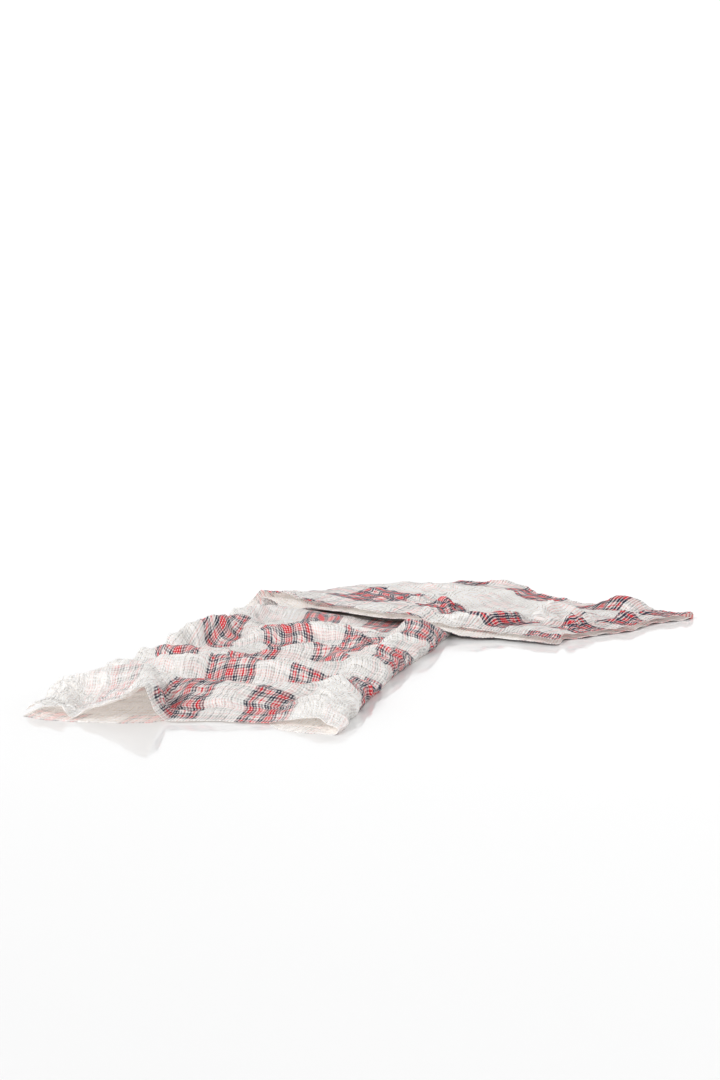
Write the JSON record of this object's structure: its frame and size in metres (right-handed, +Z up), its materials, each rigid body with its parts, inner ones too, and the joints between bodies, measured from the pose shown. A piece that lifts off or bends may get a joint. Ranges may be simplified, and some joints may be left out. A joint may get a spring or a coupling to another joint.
{
  "type": "scarf",
  "caption": "Thin crinkled cotton scarf with a traditional check, folded lengthwise, laid on a surface and turned back on itself along a slanting fold.",
  "frame": {"origin": "middle of the laid scarf's bounding box, on the surface that it lies on", "axes": "+Z up from the surface, +Y away from the front hem, +X towards the end of the far leg"},
  "size_m": [1.2086, 1.1702, 0.0627],
  "materials": {
    "cotton_check": "soft matt crinkled gauze, red and blue-black bands on ivory"
  },
  "bodies": {
    "root": {"cloth": "cotton_check"}
  },
  "joints": []
}
